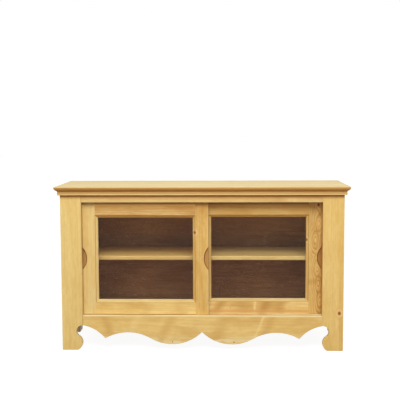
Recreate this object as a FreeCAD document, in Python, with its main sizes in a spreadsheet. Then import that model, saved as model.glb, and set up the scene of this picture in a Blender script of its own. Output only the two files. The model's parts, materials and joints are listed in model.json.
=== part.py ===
import FreeCAD, Part
import Sketcher
import math
import os
import re

# Low television cabinet in solid pine: moulded top, broad front posts with scrolled feet, a scalloped
# apron and two glazed doors that slide past each other. Millimetres, +X to the right, the front faces
# -Y, +Z up, the origin on the floor under the middle of the whole cabinet.

DIMENSIONS = {
    # Carcass and top
    "body_width": 1200,
    "body_depth": 374,
    "total_height": 703,
    "top_overhang": 23,
    "back_overhang": 5,
    "nose_radius": 1.5,
    "round_height": 15,
    "hollow_height": 7,
    "ogee_inset": 14,
    "top_land": 1.5,
    "strip_height": 10.5,
    "strip_inset": 13,
    "strip_round": 1.5,
    # Face frame
    "post_width": 90,
    "frame_thickness": 18,
    "rail_height": 42,
    "apron_top": 150,
    "frame_tenon_thickness": 7,
    "frame_tenon_length": 30,
    "frame_tenon_shoulder": 6,
    # Scrolled feet
    "foot_radius": 34.5,
    "foot_sink": 2.5,
    "neck_radius": 25.5,
    "neck_inset": 4.2,
    "scroll_angle": 56.4,
    # Lower edge of the apron
    "lobe_radius": 180,
    "lobe_low": 26.5,
    "centre_cusp": 80,
    "valley_radius": 195,
    "scallop_radius": 156,
    "scallop_width": 95,
    "outer_cusp": 51,
    # Side frames
    "side_thickness": 22,
    "side_stile_width": 70,
    "side_top_height": 60,
    "side_bottom_height": 85,
    "side_arch_rise": 22,
    "side_tenon_length": 25,
    "side_tenon_shoulder": 12,
    "panel_thickness": 10,
    "panel_groove": 8,
    "panel_clearance": 0.5,
    "panel_bevel": 35,
    "panel_raise": 4,
    # Back
    "rear_rail_thickness": 22,
    "rear_top_height": 60,
    "rear_bottom_height": 40,
    "stub_tenon_length": 12,
    "stub_tenon_thickness": 8,
    "stub_tenon_shoulder": 8,
    "back_thickness": 4,
    "back_recess": 1,
    "back_rebate": 12,
    "back_clearance": 0.5,
    "cable_hole_radius": 30,
    "cable_hole_drop": 46,
    "cable_hole_offset": 290,
    # Floor, partition and shelves
    "floor_thickness": 18,
    "cleat_size": 20,
    "front_cleat_length": 800,
    "partition_thickness": 18,
    "shelf_height": 394,
    "shelf_thickness": 18,
    "shelf_setback": 14,
    "shelf_cleat_lead": 24,
    # Door tracks and stops
    "lower_track_thickness": 22,
    "track_back_land": 7,
    "lower_groove_depth": 8,
    "upper_groove_depth": 16,
    "groove_clearance": 0.5,
    "stop_setback": 2,
    "stop_width": 20,
    # Doors
    "door_thickness": 22,
    "door_gap": 3,
    "door_spacing": 4,
    "door_stile": 55.5,
    "door_top_rail": 51.5,
    "door_bottom_rail": 52,
    "lower_shoulder_gap": 1,
    "upper_shoulder_gap": 5,
    "tongue_thickness": 10,
    "upper_tongue_reach": 6,
    "run_clearance": 0.3,
    "door_tenon_length": 30,
    "door_tenon_thickness": 8,
    "door_tenon_setback": 4,
    "door_tenon_shoulder": 8,
    "bead_width": 11,
    "bead_depth": 10,
    "bead_recess": 2.5,
    "bead_slope": 9,
    "bead_flat": 0.5,
    "glass_thickness": 4,
    "glass_clearance": 0.8,
    "scoop_chord": 99,
    "scoop_reach": 20,
    "scoop_sink": 10,
    "scoop_slope": 4,
    "scoop_height": 394,
    # Fasteners
    "block_size": 30,
    "screw_head_radius": 4,
    "screw_head_height": 3,
    "screw_shank_radius": 2,
    "top_screw_length": 40,
    "cleat_screw_length": 28,
    "pin_head_radius": 2.4,
    "pin_head_height": 0.8,
    "pin_shank_radius": 0.8,
    "pin_length": 16,
    "pin_side_margin": 120,
    "pin_rail_margin": 60,
}
SIDE_BLOCKS = 2
SIDE_CLEAT_SCREWS = 3
CENTRE_CLEAT_SCREWS = 2
FRONT_CLEAT_SCREWS = 3
RAIL_PINS = 5
UPRIGHT_PINS = 4

# Places that several pieces share, worked out from the sizes above
HALF_BODY = "(body_width/2)"
JAMB = "(body_width/2 - post_width)"
FRONT = "((top_overhang - body_depth - back_overhang)/2)"
BACK = f"({FRONT} + body_depth)"
FRAME_BACK = f"({FRONT} + frame_thickness)"
OGEE_HEIGHT = "(hollow_height + round_height)"
TOP_THICKNESS = f"(top_land + {OGEE_HEIGHT} + nose_radius)"
TOP_LENGTH = "(body_width + 2*top_overhang)"
TOP_DEPTH = "(body_depth + top_overhang + back_overhang)"
STRIP_REACH = "(top_overhang - strip_inset)"
UNDER_TOP = f"(total_height - {TOP_THICKNESS})"
OPENING_TOP = f"({UNDER_TOP} - rail_height)"

SIDE_INNER = f"({HALF_BODY} - side_thickness)"
SIDE_MIDDLE = f"({HALF_BODY} - side_thickness/2)"
SIDE_FRONT_EDGE = f"({FRAME_BACK} + side_stile_width)"
SIDE_REAR_EDGE = f"({BACK} - side_stile_width)"
SIDE_RUN = f"({SIDE_REAR_EDGE} - {SIDE_FRONT_EDGE})"
SIDE_RAIL_UNDER = f"({UNDER_TOP} - side_top_height)"

BACK_PANEL_REAR = f"({BACK} - back_recess)"
BACK_PANEL_FRONT = f"({BACK_PANEL_REAR} - back_thickness)"
REAR_RAIL_FRONT = f"({BACK_PANEL_FRONT} - rear_rail_thickness)"
FLOOR_TOP = "(apron_top - lower_track_thickness)"
FLOOR_UNDER = f"({FLOOR_TOP} - floor_thickness)"
REAR_TOP_LEVELS = (f"({UNDER_TOP} - rear_top_height)", UNDER_TOP)
REAR_BOTTOM_LEVELS = (f"({FLOOR_UNDER} - rear_bottom_height)", FLOOR_UNDER)

GROOVE_WIDTH = "(tongue_thickness + 2*groove_clearance)"
FRONT_DOOR_FACE = f"({FRAME_BACK} + door_gap)"
REAR_DOOR_FACE = f"({FRONT_DOOR_FACE} + door_thickness + door_spacing)"
TRACK_DEPTH = "(door_gap + 2*door_thickness + door_spacing + track_back_land)"
TRACK_BACK = f"({FRAME_BACK} + {TRACK_DEPTH})"
STOP_FACE = f"({JAMB} + stop_setback)"

SHELF_UNDER = "(shelf_height - shelf_thickness)"
SHELF_FRONT = f"({TRACK_BACK} + shelf_setback)"
PARTITION_FACE = "(partition_thickness/2)"

DOOR_WIDTH = f"({STOP_FACE} - run_clearance + door_stile/2)"
DOOR_LOW = "(apron_top + lower_shoulder_gap)"
DOOR_HIGH = f"({OPENING_TOP} - upper_shoulder_gap)"
TONGUE_LOW = "(apron_top - lower_groove_depth + run_clearance)"
TONGUE_HIGH = f"({OPENING_TOP} + upper_tongue_reach)"
TONGUE_SETBACK = "((door_thickness - tongue_thickness)/2)"
REBATE_DEPTH = "(bead_recess + bead_depth + glass_thickness)"
LIP_THICKNESS = f"(door_thickness - {REBATE_DEPTH})"
PANE_LOW = f"({DOOR_LOW} + door_bottom_rail)"
PANE_HIGH = f"({DOOR_HIGH} - door_top_rail)"
BEAD_SLOPE = "min(bead_slope; bead_depth - bead_flat; bead_width - bead_flat)"
SCOOP_RADIUS = "((scoop_chord^2/4 + scoop_reach^2)/(2*scoop_reach))"

# Scroll of the foot: a hollow neck that runs smoothly into a round toe, measured from the jamb
SCROLL_SPAN = "(neck_radius + foot_radius)"
NECK_HEIGHT = f"(foot_radius - foot_sink + {SCROLL_SPAN}*sin(scroll_angle))"
NOTCH_TOP = f"({NECK_HEIGHT} + sqrt(neck_radius^2 - neck_inset^2))"
SCROLL_X = "(neck_inset + neck_radius*cos(scroll_angle))"
SCROLL_Z = f"({NECK_HEIGHT} - neck_radius*sin(scroll_angle))"
TOE_HALF_WIDTH = "sqrt(foot_radius^2 - (foot_radius - foot_sink)^2)"
TOE_X = f"(neck_inset + {SCROLL_SPAN}*cos(scroll_angle) - {TOE_HALF_WIDTH})"

# An edge this near to a plane lies in it
TOUCH = 0.01

ALONG_X = FreeCAD.Vector(1, 0, 0)
ALONG_Y = FreeCAD.Vector(0, 1, 0)
ALONG_Z = FreeCAD.Vector(0, 0, 1)

doc = FreeCAD.newDocument("tv_cabinet")
sheet = doc.addObject("Spreadsheet::Sheet", "dims")
for row, (alias, size) in enumerate(DIMENSIONS.items(), start=1):
    sheet.set(f"A{row}", alias)
    sheet.set(f"B{row}", str(size))
    sheet.setAlias(f"B{row}", alias)
doc.recompute()

nodes = []


def formula(text):
    """The text with each size written as its cell in the sheet."""
    def cell(match):
        return f"dims.{match[0]}" if match[0] in DIMENSIONS else match[0]

    return re.sub(r"[a-z_]+", cell, text)


def value(text):
    return float(sheet.evalExpression(formula(text)))


def bind(thing, **sizes):
    for name, text in sizes.items():
        thing.setExpression(name, formula(text))


def move(thing, x="0", y="0", z="0"):
    for axis, text in zip("xyz", (x, y, z)):
        thing.setExpression(f"Placement.Base.{axis}", formula(text))


def turn(thing, axis, degrees):
    thing.Placement.Rotation = FreeCAD.Rotation(axis, degrees)


def keep(thing, name):
    """Make the thing a named piece of the cabinet."""
    thing.Label = name
    nodes.append(thing)
    return thing


def box(x, y, z, length, width, height, name="block"):
    block = doc.addObject("Part::Box", name)
    bind(block, Length=length, Width=width, Height=height)
    move(block, x, y, z)
    return block


def span_box(low, high, name="block"):
    """A block between its lowest and its highest corner."""
    sizes = [f"({b}) - ({a})" for a, b in zip(low, high)]
    return box(*low, *sizes, name=name)


def fuse(shapes, name="joined"):
    joined = doc.addObject("Part::MultiFuse", name)
    joined.Shapes = shapes
    joined.Refine = True
    return joined


def cut(base, tools, name="cut_piece"):
    result = doc.addObject("Part::Cut", name)
    result.Base = base
    result.Tool = tools[0] if len(tools) == 1 else fuse(tools, "cutters")
    return result


def mirror(thing, normal=ALONG_X, through=("0", "0", "0")):
    """The twin of a piece across a plane: the cabinet's middle plane unless another is given."""
    twin = doc.addObject("Part::Mirroring", "twin")
    twin.Source = thing
    twin.Normal = normal
    for axis, text in zip("xyz", through):
        twin.setExpression(f"Base.{axis}", formula(text))
    return twin


def keep_pair(thing, name):
    """Keep a right-hand piece and its left-hand twin."""
    keep(thing, f"{name}_right")
    keep(mirror(thing), f"{name}_left")


def plane(body, role):
    return next(item for item in body.Origin.OriginFeatures if item.Role == role)


def hold(sketch, kind, geometry, text, name):
    """Add a size constraint that follows the sheet."""
    index = sketch.addConstraint(Sketcher.Constraint(kind, *geometry, value(text)))
    sketch.renameConstraint(index, name)
    sketch.setExpression(f"Constraints.{name}", formula(text))


def arc_through(start, end, radius):
    """The short arc between two points: it turns left if the radius is positive, else right."""
    chord = end - start
    half = chord.Length / 2
    side = FreeCAD.Vector(-chord.y, chord.x, 0).normalize()
    rise = math.sqrt(max(radius * radius - half * half, 0))
    centre = (start + end) * 0.5 + side * (rise if radius > 0 else -rise)
    first, last = (start, end) if radius > 0 else (end, start)
    angles = [math.atan2(point.y - centre.y, point.x - centre.x) for point in (first, last)]
    circle = Part.Circle(centre, ALONG_Z, abs(radius))
    return Part.ArcOfCircle(circle, *angles)


def outline(body, role, corners, name="outline"):
    """A closed sketch through corners. A corner is (x, y), or (x, y, turn, radius) where an arc leaves
    it: turn is 1 for an arc that turns left and -1 for one that turns right. A corner whose x is a number
    is free, and its two arcs run smoothly into each other there."""
    sketch = body.newObject("Sketcher::SketchObject", name)
    sketch.AttachmentSupport = [(plane(body, role), "")]
    sketch.MapMode = "FlatFace"
    spots = []
    for x, y, *_ in corners:
        free = not isinstance(x, str)
        spots.append(FreeCAD.Vector(x, y, 0) if free else FreeCAD.Vector(value(x), value(y), 0))
    starts, ends = [], []
    for index, (x, y, *arc) in enumerate(corners):
        start, end = spots[index], spots[(index + 1) % len(spots)]
        if arc:
            sketch.addGeometry(arc_through(start, end, arc[0] * value(arc[1])), False)
            hold(sketch, "Radius", (index,), arc[1], f"radius_{index}")
        else:
            sketch.addGeometry(Part.LineSegment(start, end), False)
        turns_right = bool(arc) and arc[0] < 0
        starts.append(2 if turns_right else 1)
        ends.append(1 if turns_right else 2)
    for index, (x, y, *arc) in enumerate(corners):
        before = index - 1 if index else len(corners) - 1
        joint = (before, ends[before], index, starts[index])
        if not isinstance(x, str):
            sketch.addConstraint(Sketcher.Constraint("Tangent", *joint))
            continue
        sketch.addConstraint(Sketcher.Constraint("Coincident", *joint))
        for kind, axis, text, word in (("DistanceX", -2, x, "across"), ("DistanceY", -1, y, "up")):
            if text == "0":
                sketch.addConstraint(Sketcher.Constraint("PointOnObject", index, starts[index], axis))
            else:
                hold(sketch, kind, (-1, 1, index, starts[index]), text, f"{word}_{index}")
    return sketch


def pad(body, sketch, length, symmetric=False, backwards=False):
    feature = body.newObject("PartDesign::Pad", "pad")
    feature.Profile = sketch
    bind(feature, Length=length)
    feature.Midplane = symmetric
    feature.Reversed = backwards
    return feature


def plate(role, corners, length, symmetric=False, backwards=False, name="plate"):
    """A body padded from one outline."""
    body = doc.addObject("PartDesign::Body", name)
    pad(body, outline(body, role, corners), length, symmetric, backwards)
    return body


def ease_edge(body, kind, size, chosen):
    """Round (Fillet) or slope (Chamfer) the edges that the test chooses by their middle points."""
    doc.recompute()
    base = body.Tip
    names = []
    for number, edge in enumerate(base.Shape.Edges, start=1):
        if chosen(edge.CenterOfMass):
            names.append(f"Edge{number}")
    feature = body.newObject(f"PartDesign::{kind}", "eased")
    feature.Base = (base, names)
    bind(feature, **{"Radius" if kind == "Fillet" else "Size": size})


# The top's moulded edge from its underside to its upper face, as distances in from the nose: an ogee,
# hollow below and round above, whose two arcs meet smoothly and end upright, and a rounded arris
OGEE_SLOPE = f"(ogee_inset/{OGEE_HEIGHT})"
RADIUS_PER_HEIGHT = f"(1 + {OGEE_SLOPE}^2)/(2*{OGEE_SLOPE})"
MOULDED_EDGE = [
    ("ogee_inset", "0"),
    ("ogee_inset", "top_land", 1, f"hollow_height*{RADIUS_PER_HEIGHT}"),
    (f"round_height*{OGEE_SLOPE}", "top_land + hollow_height", -1, f"round_height*{RADIUS_PER_HEIGHT}"),
    ("0", f"top_land + {OGEE_HEIGHT}", -1, "nose_radius"),
    ("nose_radius", TOP_THICKNESS),
]


def far_edge(near_edge, length):
    """The same edge at the other end of a board of that length, from its upper face to its underside."""
    arcs = [()] + [tuple(arc) for x, y, *arc in near_edge[:-1]]
    corners = [(f"{length} - ({x})", y, *arc) for (x, y, *_), arc in zip(near_edge, arcs)]
    return corners[::-1]


def top_board():
    """One board: the same moulding along the front and both ends, square at the back."""
    square_back = [(TOP_DEPTH, TOP_THICKNESS), (TOP_DEPTH, "0")]
    along = plate("YZ_Plane", MOULDED_EDGE + square_back, TOP_LENGTH, symmetric=True, name="top_along")
    move(along, "0", f"-{TOP_DEPTH}/2", UNDER_TOP)

    both_ends = MOULDED_EDGE + far_edge(MOULDED_EDGE, TOP_LENGTH)
    across = plate("XZ_Plane", both_ends, TOP_DEPTH, symmetric=True, name="top_across")
    move(across, f"-{TOP_LENGTH}/2", "0", UNDER_TOP)

    board = doc.addObject("Part::Common", "top_board")
    board.Base = along
    board.Tool = across
    keep(board, "top_board")


def top_mouldings():
    """Square strips under the top, mitred at the front corners, with a rounded lower edge."""
    outer = f"({HALF_BODY} + {STRIP_REACH})"
    level = f"{UNDER_TOP} - strip_height"
    front = plate("XY_Plane", [
        ("0", "0"),
        (f"2*{outer}", "0"),
        (f"2*{outer} - {STRIP_REACH}", STRIP_REACH),
        (STRIP_REACH, STRIP_REACH),
    ], "strip_height", name="front_strip")
    ease_edge(front, "Fillet", "strip_round", lambda middle: middle.y < TOUCH and middle.z < TOUCH)
    move(front, f"-{outer}", f"{FRONT} - {STRIP_REACH}", level)
    keep(front, "top_moulding_front")

    side = plate("XY_Plane", [
        ("0", STRIP_REACH),
        (STRIP_REACH, "0"),
        (STRIP_REACH, f"{STRIP_REACH} + body_depth"),
        ("0", f"{STRIP_REACH} + body_depth"),
    ], "strip_height", name="side_strip")
    outer_face = value(STRIP_REACH) - TOUCH
    ease_edge(side, "Fillet", "strip_round", lambda middle: middle.x > outer_face and middle.z < TOUCH)
    move(side, HALF_BODY, f"{FRONT} - {STRIP_REACH}", level)
    keep_pair(side, "top_moulding")


def frame_tenon(low, high):
    """A tenon from the right jamb into the post, in the middle of the face frame's thickness."""
    setback = "(frame_thickness - frame_tenon_thickness)/2"
    return box(
        JAMB, f"{FRONT} + {setback}", f"{low} + frame_tenon_shoulder",
        "frame_tenon_length", "frame_tenon_thickness", f"{high} - {low} - 2*frame_tenon_shoulder",
    )


def face_frame():
    """Posts, top rail and apron, flush at the front and tenoned together."""
    post = plate("XZ_Plane", [
        ("0", NOTCH_TOP, -1, "neck_radius"),
        (SCROLL_X, SCROLL_Z, 1, "foot_radius"),
        (TOE_X, "0"),
        ("post_width", "0"),
        ("post_width", UNDER_TOP),
        ("0", UNDER_TOP),
    ], "frame_thickness", backwards=True, name="post")
    move(post, JAMB, FRONT)
    mortises = [frame_tenon(OPENING_TOP, UNDER_TOP), frame_tenon(NOTCH_TOP, "apron_top")]
    keep_pair(cut(post, mortises), "front_post")

    rail = box(f"-{JAMB}", FRONT, OPENING_TOP, f"2*{JAMB}", "frame_thickness", "rail_height")
    tenon = frame_tenon(OPENING_TOP, UNDER_TOP)
    keep(fuse([rail, tenon, mirror(tenon)]), "top_rail")

    tenon = frame_tenon(NOTCH_TOP, "apron_top")
    keep(fuse([apron_board(), tenon, mirror(tenon)]), "apron")


def apron_board():
    """Lower rail: from the middle a cusp, a hanging lobe, a hollow, a cusp and a scallop up to the post.
    The sketch holds the point where lobe and hollow meet; it is worked out here to start near it."""
    lobe_radius = value("lobe_radius")
    valley_radius = value("valley_radius")
    span = lobe_radius + valley_radius
    lobe_height = value("lobe_low + lobe_radius")
    lobe_across = math.sqrt(lobe_radius**2 - (lobe_height - value("centre_cusp"))**2)
    run = value(f"{JAMB} - scallop_width") - lobe_across
    drop = value("outer_cusp") - lobe_height
    reach = math.hypot(run, drop)
    bend = math.acos((span**2 + reach**2 - valley_radius**2) / (2 * span * reach))
    slope = math.atan2(drop, run) - bend
    smooth = (lobe_across + lobe_radius * math.cos(slope), lobe_height + lobe_radius * math.sin(slope))

    body = doc.addObject("PartDesign::Body", "apron_board")
    corners = [
        ("0", "apron_top"),
        ("0", "centre_cusp", 1, "lobe_radius"),
        (*smooth, -1, "valley_radius"),
        (f"{JAMB} - scallop_width", "outer_cusp", -1, "scallop_radius"),
        (JAMB, NOTCH_TOP),
        (JAMB, "apron_top"),
    ]
    sketch = outline(body, "XZ_Plane", corners)
    lobe, centre_point = 1, 3
    hold(sketch, "DistanceY", (-1, 1, lobe, centre_point), "lobe_low + lobe_radius", "lobe_centre")
    half = pad(body, sketch, "frame_thickness", backwards=True)
    whole = body.newObject("PartDesign::Mirrored", "both_halves")
    whole.Originals = [half]
    whole.MirrorPlane = (plane(body, "YZ_Plane"), [""])
    body.Tip = whole
    move(body, "0", FRONT)
    return body


def side_tenon(low, high):
    """Tenon of a side rail into the front stile. The rear one is its twin."""
    return box(
        f"{SIDE_MIDDLE} - panel_thickness/2", f"{SIDE_FRONT_EDGE} - side_tenon_length", low,
        "panel_thickness", "side_tenon_length", f"({high}) - ({low})",
    )


def rear_tenon(tenon_front):
    """The twin of a front tenon at the other end of the rail."""
    return mirror(tenon_front, ALONG_Y, ("0", f"({SIDE_FRONT_EDGE} + {SIDE_REAR_EDGE})/2", "0"))


def side_tenons():
    """Tenons of the top and bottom side rails into the front stile."""
    top = side_tenon(f"{SIDE_RAIL_UNDER} + panel_groove", f"{UNDER_TOP} - side_tenon_shoulder")
    bottom_low = "apron_top - side_bottom_height + side_tenon_shoulder"
    bottom = side_tenon(bottom_low, "apron_top - panel_groove")
    return top, bottom


def rear_stub(low, high):
    """A stub tenon of a rear rail into the right rear stile."""
    setback = "(rear_rail_thickness - stub_tenon_thickness)/2"
    return box(
        SIDE_INNER, f"{REAR_RAIL_FRONT} + {setback}", f"{low} + stub_tenon_shoulder",
        "stub_tenon_length", "stub_tenon_thickness", f"{high} - {low} - 2*stub_tenon_shoulder",
    )


def side_sheet(reach):
    """A sheet as thick as the side panel that reaches that far into the frame all round."""
    return span_box(
        (f"{SIDE_MIDDLE} - panel_thickness/2", f"{SIDE_FRONT_EDGE} - {reach}", f"apron_top - {reach}"),
        (f"{SIDE_MIDDLE} + panel_thickness/2", f"{SIDE_REAR_EDGE} + {reach}", f"{SIDE_RAIL_UNDER} + {reach}"),
    )


def side_frames():
    """Frame and panel sides behind the posts, the right one and its twin."""
    groove = side_sheet("panel_groove")
    stile_size = ("side_thickness", "side_stile_width", UNDER_TOP)
    front = box(SIDE_INNER, FRAME_BACK, "0", *stile_size)
    keep_pair(cut(front, [groove, *side_tenons()]), "side_front_stile")

    rear = box(SIDE_INNER, SIDE_REAR_EDGE, "0", *stile_size)
    rebate = span_box(
        (SIDE_INNER, BACK_PANEL_FRONT, REAR_BOTTOM_LEVELS[0]),
        (f"{SIDE_INNER} + back_rebate", BACK, UNDER_TOP),
    )
    mortises = [rear_tenon(tenon) for tenon in side_tenons()]
    stubs = [rear_stub(*REAR_TOP_LEVELS), rear_stub(*REAR_BOTTOM_LEVELS)]
    keep_pair(cut(rear, [groove, rebate, *mortises, *stubs]), "side_rear_stile")

    tenon_top, tenon_bottom = side_tenons()
    rail = span_box((SIDE_INNER, SIDE_FRONT_EDGE, SIDE_RAIL_UNDER), (HALF_BODY, SIDE_REAR_EDGE, UNDER_TOP))
    rail = cut(rail, [groove])
    keep_pair(fuse([rail, tenon_top, rear_tenon(tenon_top)]), "side_top_rail")

    arch_radius = f"(({SIDE_RUN})^2/4 + side_arch_rise^2)/(2*side_arch_rise)"
    arched = plate("YZ_Plane", [
        ("0", "0", -1, arch_radius),
        (SIDE_RUN, "0"),
        (SIDE_RUN, "side_bottom_height"),
        ("0", "side_bottom_height"),
    ], "side_thickness", name="arched_rail")
    move(arched, SIDE_INNER, SIDE_FRONT_EDGE, "apron_top - side_bottom_height")
    arched = cut(arched, [groove])
    keep_pair(fuse([arched, tenon_bottom, rear_tenon(tenon_bottom)]), "side_bottom_rail")

    board = side_sheet("(panel_groove - panel_clearance)")
    keep_pair(fuse([board, raised_field()]), "side_panel")


def raised_field():
    """The bevelled field on the outer face of the side panel."""
    field = doc.addObject("Part::Wedge", "raised_field")
    height = f"({SIDE_RAIL_UNDER} - apron_top)"
    bind(
        field,
        Xmin="panel_clearance", Xmax=f"{SIDE_RUN} - panel_clearance",
        Zmin="panel_clearance", Zmax=f"{height} - panel_clearance",
        X2min="panel_bevel", X2max=f"{SIDE_RUN} - panel_bevel",
        Z2min="panel_bevel", Z2max=f"{height} - panel_bevel",
        Ymin="0", Ymax="panel_raise",
    )
    turn(field, ALONG_Z, -90)
    move(field, f"{SIDE_MIDDLE} + panel_thickness/2", SIDE_REAR_EDGE, "apron_top")
    return field


def back():
    """Rear rails and the thin back panel, which lies in rebates of the rear stiles."""
    for place, (low, high) in (("top", REAR_TOP_LEVELS), ("bottom", REAR_BOTTOM_LEVELS)):
        rail = span_box((f"-{SIDE_INNER}", REAR_RAIL_FRONT, low), (SIDE_INNER, BACK_PANEL_FRONT, high))
        stub = rear_stub(low, high)
        keep(fuse([rail, stub, mirror(stub)]), f"rear_{place}_rail")

    half_panel = f"({SIDE_INNER} + back_rebate - back_clearance)"
    panel = span_box(
        (f"-{half_panel}", BACK_PANEL_FRONT, f"{REAR_BOTTOM_LEVELS[0]} + back_clearance"),
        (half_panel, BACK_PANEL_REAR, f"{UNDER_TOP} - back_clearance"),
    )
    hole = doc.addObject("Part::Cylinder", "cable_hole")
    bind(hole, Radius="cable_hole_radius", Height="back_thickness")
    turn(hole, ALONG_X, -90)
    move(hole, "cable_hole_offset", BACK_PANEL_FRONT, f"{REAR_TOP_LEVELS[0]} - cable_hole_drop")
    keep(cut(panel, [hole, mirror(hole)]), "back_panel")


def inside():
    """Bottom board, centre partition, two shelves and the cleats that carry them."""
    floor = span_box(
        (f"-{SIDE_INNER}", FRAME_BACK, FLOOR_UNDER),
        (SIDE_INNER, BACK_PANEL_FRONT, FLOOR_TOP),
    )
    keep(floor, "bottom_board")
    cleat_low = f"{FLOOR_UNDER} - cleat_size"
    cleat = span_box(
        (f"{SIDE_INNER} - cleat_size", FRAME_BACK, cleat_low),
        (SIDE_INNER, REAR_RAIL_FRONT, FLOOR_UNDER),
    )
    keep_pair(cleat, "bottom_cleat")
    cleat = span_box(
        ("-front_cleat_length/2", FRAME_BACK, cleat_low),
        ("front_cleat_length/2", f"{FRAME_BACK} + cleat_size", FLOOR_UNDER),
    )
    keep(cleat, "bottom_cleat_front")

    board = span_box(
        (f"-{PARTITION_FACE}", SHELF_FRONT, FLOOR_TOP),
        (PARTITION_FACE, BACK_PANEL_FRONT, UNDER_TOP),
    )
    notch = span_box(
        (f"-{PARTITION_FACE}", REAR_RAIL_FRONT, REAR_TOP_LEVELS[0]),
        (PARTITION_FACE, BACK_PANEL_FRONT, UNDER_TOP),
    )
    keep(cut(board, [notch]), "centre_partition")

    shelf = span_box(
        (PARTITION_FACE, SHELF_FRONT, SHELF_UNDER),
        (SIDE_INNER, BACK_PANEL_FRONT, "shelf_height"),
    )
    keep_pair(shelf, "shelf")
    cleat_low = f"{SHELF_UNDER} - cleat_size"
    cleat = span_box(
        (f"{SIDE_INNER} - cleat_size", f"{SIDE_FRONT_EDGE} - shelf_cleat_lead", cleat_low),
        (SIDE_INNER, REAR_RAIL_FRONT, SHELF_UNDER),
    )
    keep_pair(cleat, "shelf_side_cleat")
    cleat = span_box(
        (PARTITION_FACE, SHELF_FRONT, cleat_low),
        (f"{PARTITION_FACE} + cleat_size", REAR_RAIL_FRONT, SHELF_UNDER),
    )
    keep_pair(cleat, "shelf_centre_cleat")


def tracks():
    """Grooved tracks behind the apron and the top rail, and the stops that the doors close against."""
    levels = (
        ("lower_track", FLOOR_TOP, "apron_top", "apron_top - lower_groove_depth", "apron_top"),
        ("upper_track", OPENING_TOP, UNDER_TOP, OPENING_TOP, f"{OPENING_TOP} + upper_groove_depth"),
    )
    for name, low, high, groove_low, groove_high in levels:
        track = span_box((f"-{SIDE_INNER}", FRAME_BACK, low), (SIDE_INNER, TRACK_BACK, high))
        grooves = []
        for face in (FRONT_DOOR_FACE, REAR_DOOR_FACE):
            groove_front = f"{face} + door_thickness/2 - {GROOVE_WIDTH}/2"
            grooves.append(span_box(
                (f"-{SIDE_INNER}", groove_front, groove_low),
                (SIDE_INNER, f"{groove_front} + {GROOVE_WIDTH}", groove_high),
            ))
        keep(cut(track, grooves), name)
    stop = span_box(
        (STOP_FACE, FRAME_BACK, "apron_top"),
        (f"{STOP_FACE} + stop_width", TRACK_BACK, OPENING_TOP),
    )
    keep_pair(stop, "door_stop")


def stile(x, y, name):
    """Left stile of a door whose left front edge is at x, y: rebated for the pane, mortised, scooped."""
    body = span_box((x, y, DOOR_LOW), (f"{x} + door_stile", f"{y} + door_thickness", DOOR_HIGH))
    lip = span_box(
        (f"{x} + door_stile", f"{y} + {REBATE_DEPTH}", DOOR_LOW),
        (f"{x} + door_stile + bead_width", f"{y} + door_thickness", DOOR_HIGH),
    )
    tongue_front = f"{y} + {TONGUE_SETBACK}"
    tongues = []
    for low, high in ((TONGUE_LOW, DOOR_LOW), (DOOR_HIGH, TONGUE_HIGH)):
        tongues.append(span_box(
            (x, tongue_front, low),
            (f"{x} + door_stile", f"{tongue_front} + tongue_thickness", high),
        ))
    scoop = doc.addObject("Part::Cone", "scoop")
    bind(scoop, Radius1=SCOOP_RADIUS, Radius2=f"{SCOOP_RADIUS} - scoop_slope", Height="scoop_sink")
    turn(scoop, ALONG_X, -90)
    move(scoop, f"{x} + scoop_reach - {SCOOP_RADIUS}", y, "scoop_height")
    tools = [scoop]
    for low, high in ((DOOR_LOW, PANE_LOW), (PANE_HIGH, DOOR_HIGH)):
        tools.append(rail_tenon(x, y, low, high))
    return cut(fuse([body, lip, *tongues]), tools, name)


def rail_tenon(x, y, low, high):
    """Tenon of a door rail into the left stile of a door whose left front edge is at x, y."""
    return box(
        f"{x} + door_stile - door_tenon_length",
        f"{y} + door_tenon_setback",
        f"{low} + door_tenon_shoulder",
        "door_tenon_length",
        "door_tenon_thickness",
        f"{high} - {low} - 2*door_tenon_shoulder",
    )


def about_door_middle(thing, x):
    """The twin of a piece at the other edge of its door."""
    return mirror(thing, ALONG_X, (f"{x} + {DOOR_WIDTH}/2", "0", "0"))


def door_rail(x, y, low, high, lip_low, lip_high, tongue_low, tongue_high):
    """A rail between the stiles: long in front, short behind where the stiles' lips run past it."""
    left = f"{x} + door_stile"
    right = f"{x} + {DOOR_WIDTH} - door_stile"
    face = span_box((left, y, low), (right, f"{y} + {REBATE_DEPTH}", high))
    behind = span_box(
        (f"{left} + bead_width", f"{y} + {REBATE_DEPTH}", lip_low),
        (f"{right} - bead_width", f"{y} + door_thickness", lip_high),
    )
    tongue_front = f"{y} + {TONGUE_SETBACK}"
    tongue = span_box(
        (left, tongue_front, tongue_low),
        (right, f"{tongue_front} + tongue_thickness", tongue_high),
    )
    tenon = rail_tenon(x, y, low, high)
    return fuse([face, behind, tongue, tenon, about_door_middle(tenon, x)])


def bead(length, name):
    """A mitred glazing bead: its long edge against the frame, its front sloping down to the pane."""
    body = plate("XZ_Plane", [
        ("0", "0"),
        (length, "0"),
        (f"{length} - bead_width", "bead_width"),
        ("bead_width", "bead_width"),
    ], "bead_depth", backwards=True, name=name)
    inner_face = value("bead_width") - TOUCH
    ease_edge(body, "Chamfer", BEAD_SLOPE, lambda middle: middle.z > inner_face and middle.y < TOUCH)
    return body


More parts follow.
